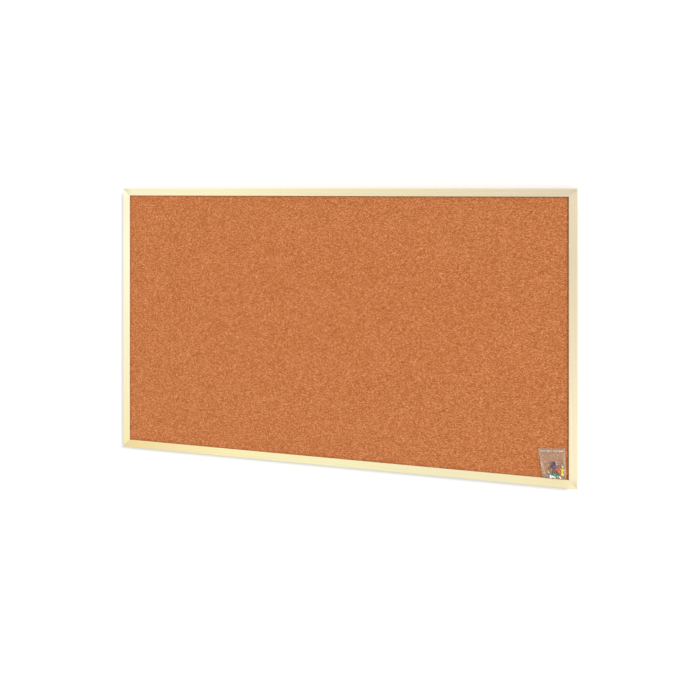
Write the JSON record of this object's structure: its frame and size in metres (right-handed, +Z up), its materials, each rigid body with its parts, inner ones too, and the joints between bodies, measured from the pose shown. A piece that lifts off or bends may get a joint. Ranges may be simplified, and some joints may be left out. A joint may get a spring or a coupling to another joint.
{
  "type": "cork bulletin board",
  "caption": "Wall-hung pin board: a cork face in a mitred pale wooden frame, strap hangers behind, and a small clear bag of push pins in its lower corner.",
  "frame": {"origin": "midway between the points where two wall hooks bear on the D rings, 49 mm below the top edge and 2 mm behind the frame's back", "axes": "+X to the right seen from the front, +Y out of the back, so the cork faces -Y, and +Z up"},
  "size_m": [1, 0.0351, 0.6],
  "materials": {
    "pale_pine": "satin",
    "cork": "matte",
    "softboard": "matte",
    "hardboard": "matte",
    "plain_steel": "satin",
    "zinc_steel": "satin",
    "bumper_rubber": "matte",
    "glue": "satin",
    "bag_film": "gloss",
    "needle_steel": "polished",
    "blue_plastic": "gloss",
    "coral_plastic": "gloss",
    "green_plastic": "gloss",
    "yellow_plastic": "gloss",
    "white_plastic": "gloss"
  },
  "bodies": {
    "board": {"top_rail": "pale_pine", "bottom_rail": "pale_pine", "left_stile": "pale_pine", "right_stile": "pale_pine", "cork_sheet": "cork", "softboard_core": "softboard", "hardboard_back": "hardboard", "corner_nail_upper_left": "plain_steel", "corner_nail_upper_right": "plain_steel", "corner_nail_lower_left": "plain_steel", "corner_nail_lower_right": "plain_steel", "panel_tab_top_1": "plain_steel", "panel_tab_top_2": "plain_steel", "panel_tab_top_3": "plain_steel", "panel_tab_bottom_1": "plain_steel", "panel_tab_bottom_2": "plain_steel", "panel_tab_bottom_3": "plain_steel", "panel_tab_left_1": "plain_steel", "panel_tab_left_2": "plain_steel", "panel_tab_right_1": "plain_steel", "panel_tab_right_2": "plain_steel", "hanger_strap_left": "zinc_steel", "hanger_screw_left_1": "zinc_steel", "hanger_screw_left_2": "zinc_steel", "bumper_left": "bumper_rubber", "hanger_strap_right": "zinc_steel", "hanger_screw_right_1": "zinc_steel", "hanger_screw_right_2": "zinc_steel", "bumper_right": "bumper_rubber"},
    "ring_left": {"hanger_ring_left": "zinc_steel"},
    "ring_right": {"hanger_ring_right": "zinc_steel"},
    "pin_bag": {"bag_film": "bag_film", "seal_groove": "bag_film", "seal_rib": "bag_film", "glue_dot": "glue", "pin_head_blue": "blue_plastic", "pin_head_coral": "coral_plastic", "pin_head_green": "green_plastic", "pin_head_yellow": "yellow_plastic", "pin_head_white": "white_plastic", "pin_needle_blue": "needle_steel", "pin_needle_coral": "needle_steel", "pin_needle_green": "needle_steel", "pin_needle_yellow": "needle_steel", "pin_needle_white": "needle_steel"}
  },
  "joints": [
    {"name": "ring_left_swing", "type": "hinge", "parent": "board", "child": "ring_left", "pos_m": [-0.4935, 0, -0.0108], "axis": [-1, 0, 0], "range_deg": [0, 170]},
    {"name": "ring_right_swing", "type": "hinge", "parent": "board", "child": "ring_right", "pos_m": [0.4935, 0, -0.0108], "axis": [-1, 0, 0], "range_deg": [0, 170]},
    {"name": "pin_bag_pull", "type": "slide", "parent": "board", "child": "pin_bag", "axis": [0, -1, 0], "range_m": [0, 0.06]}
  ]
}
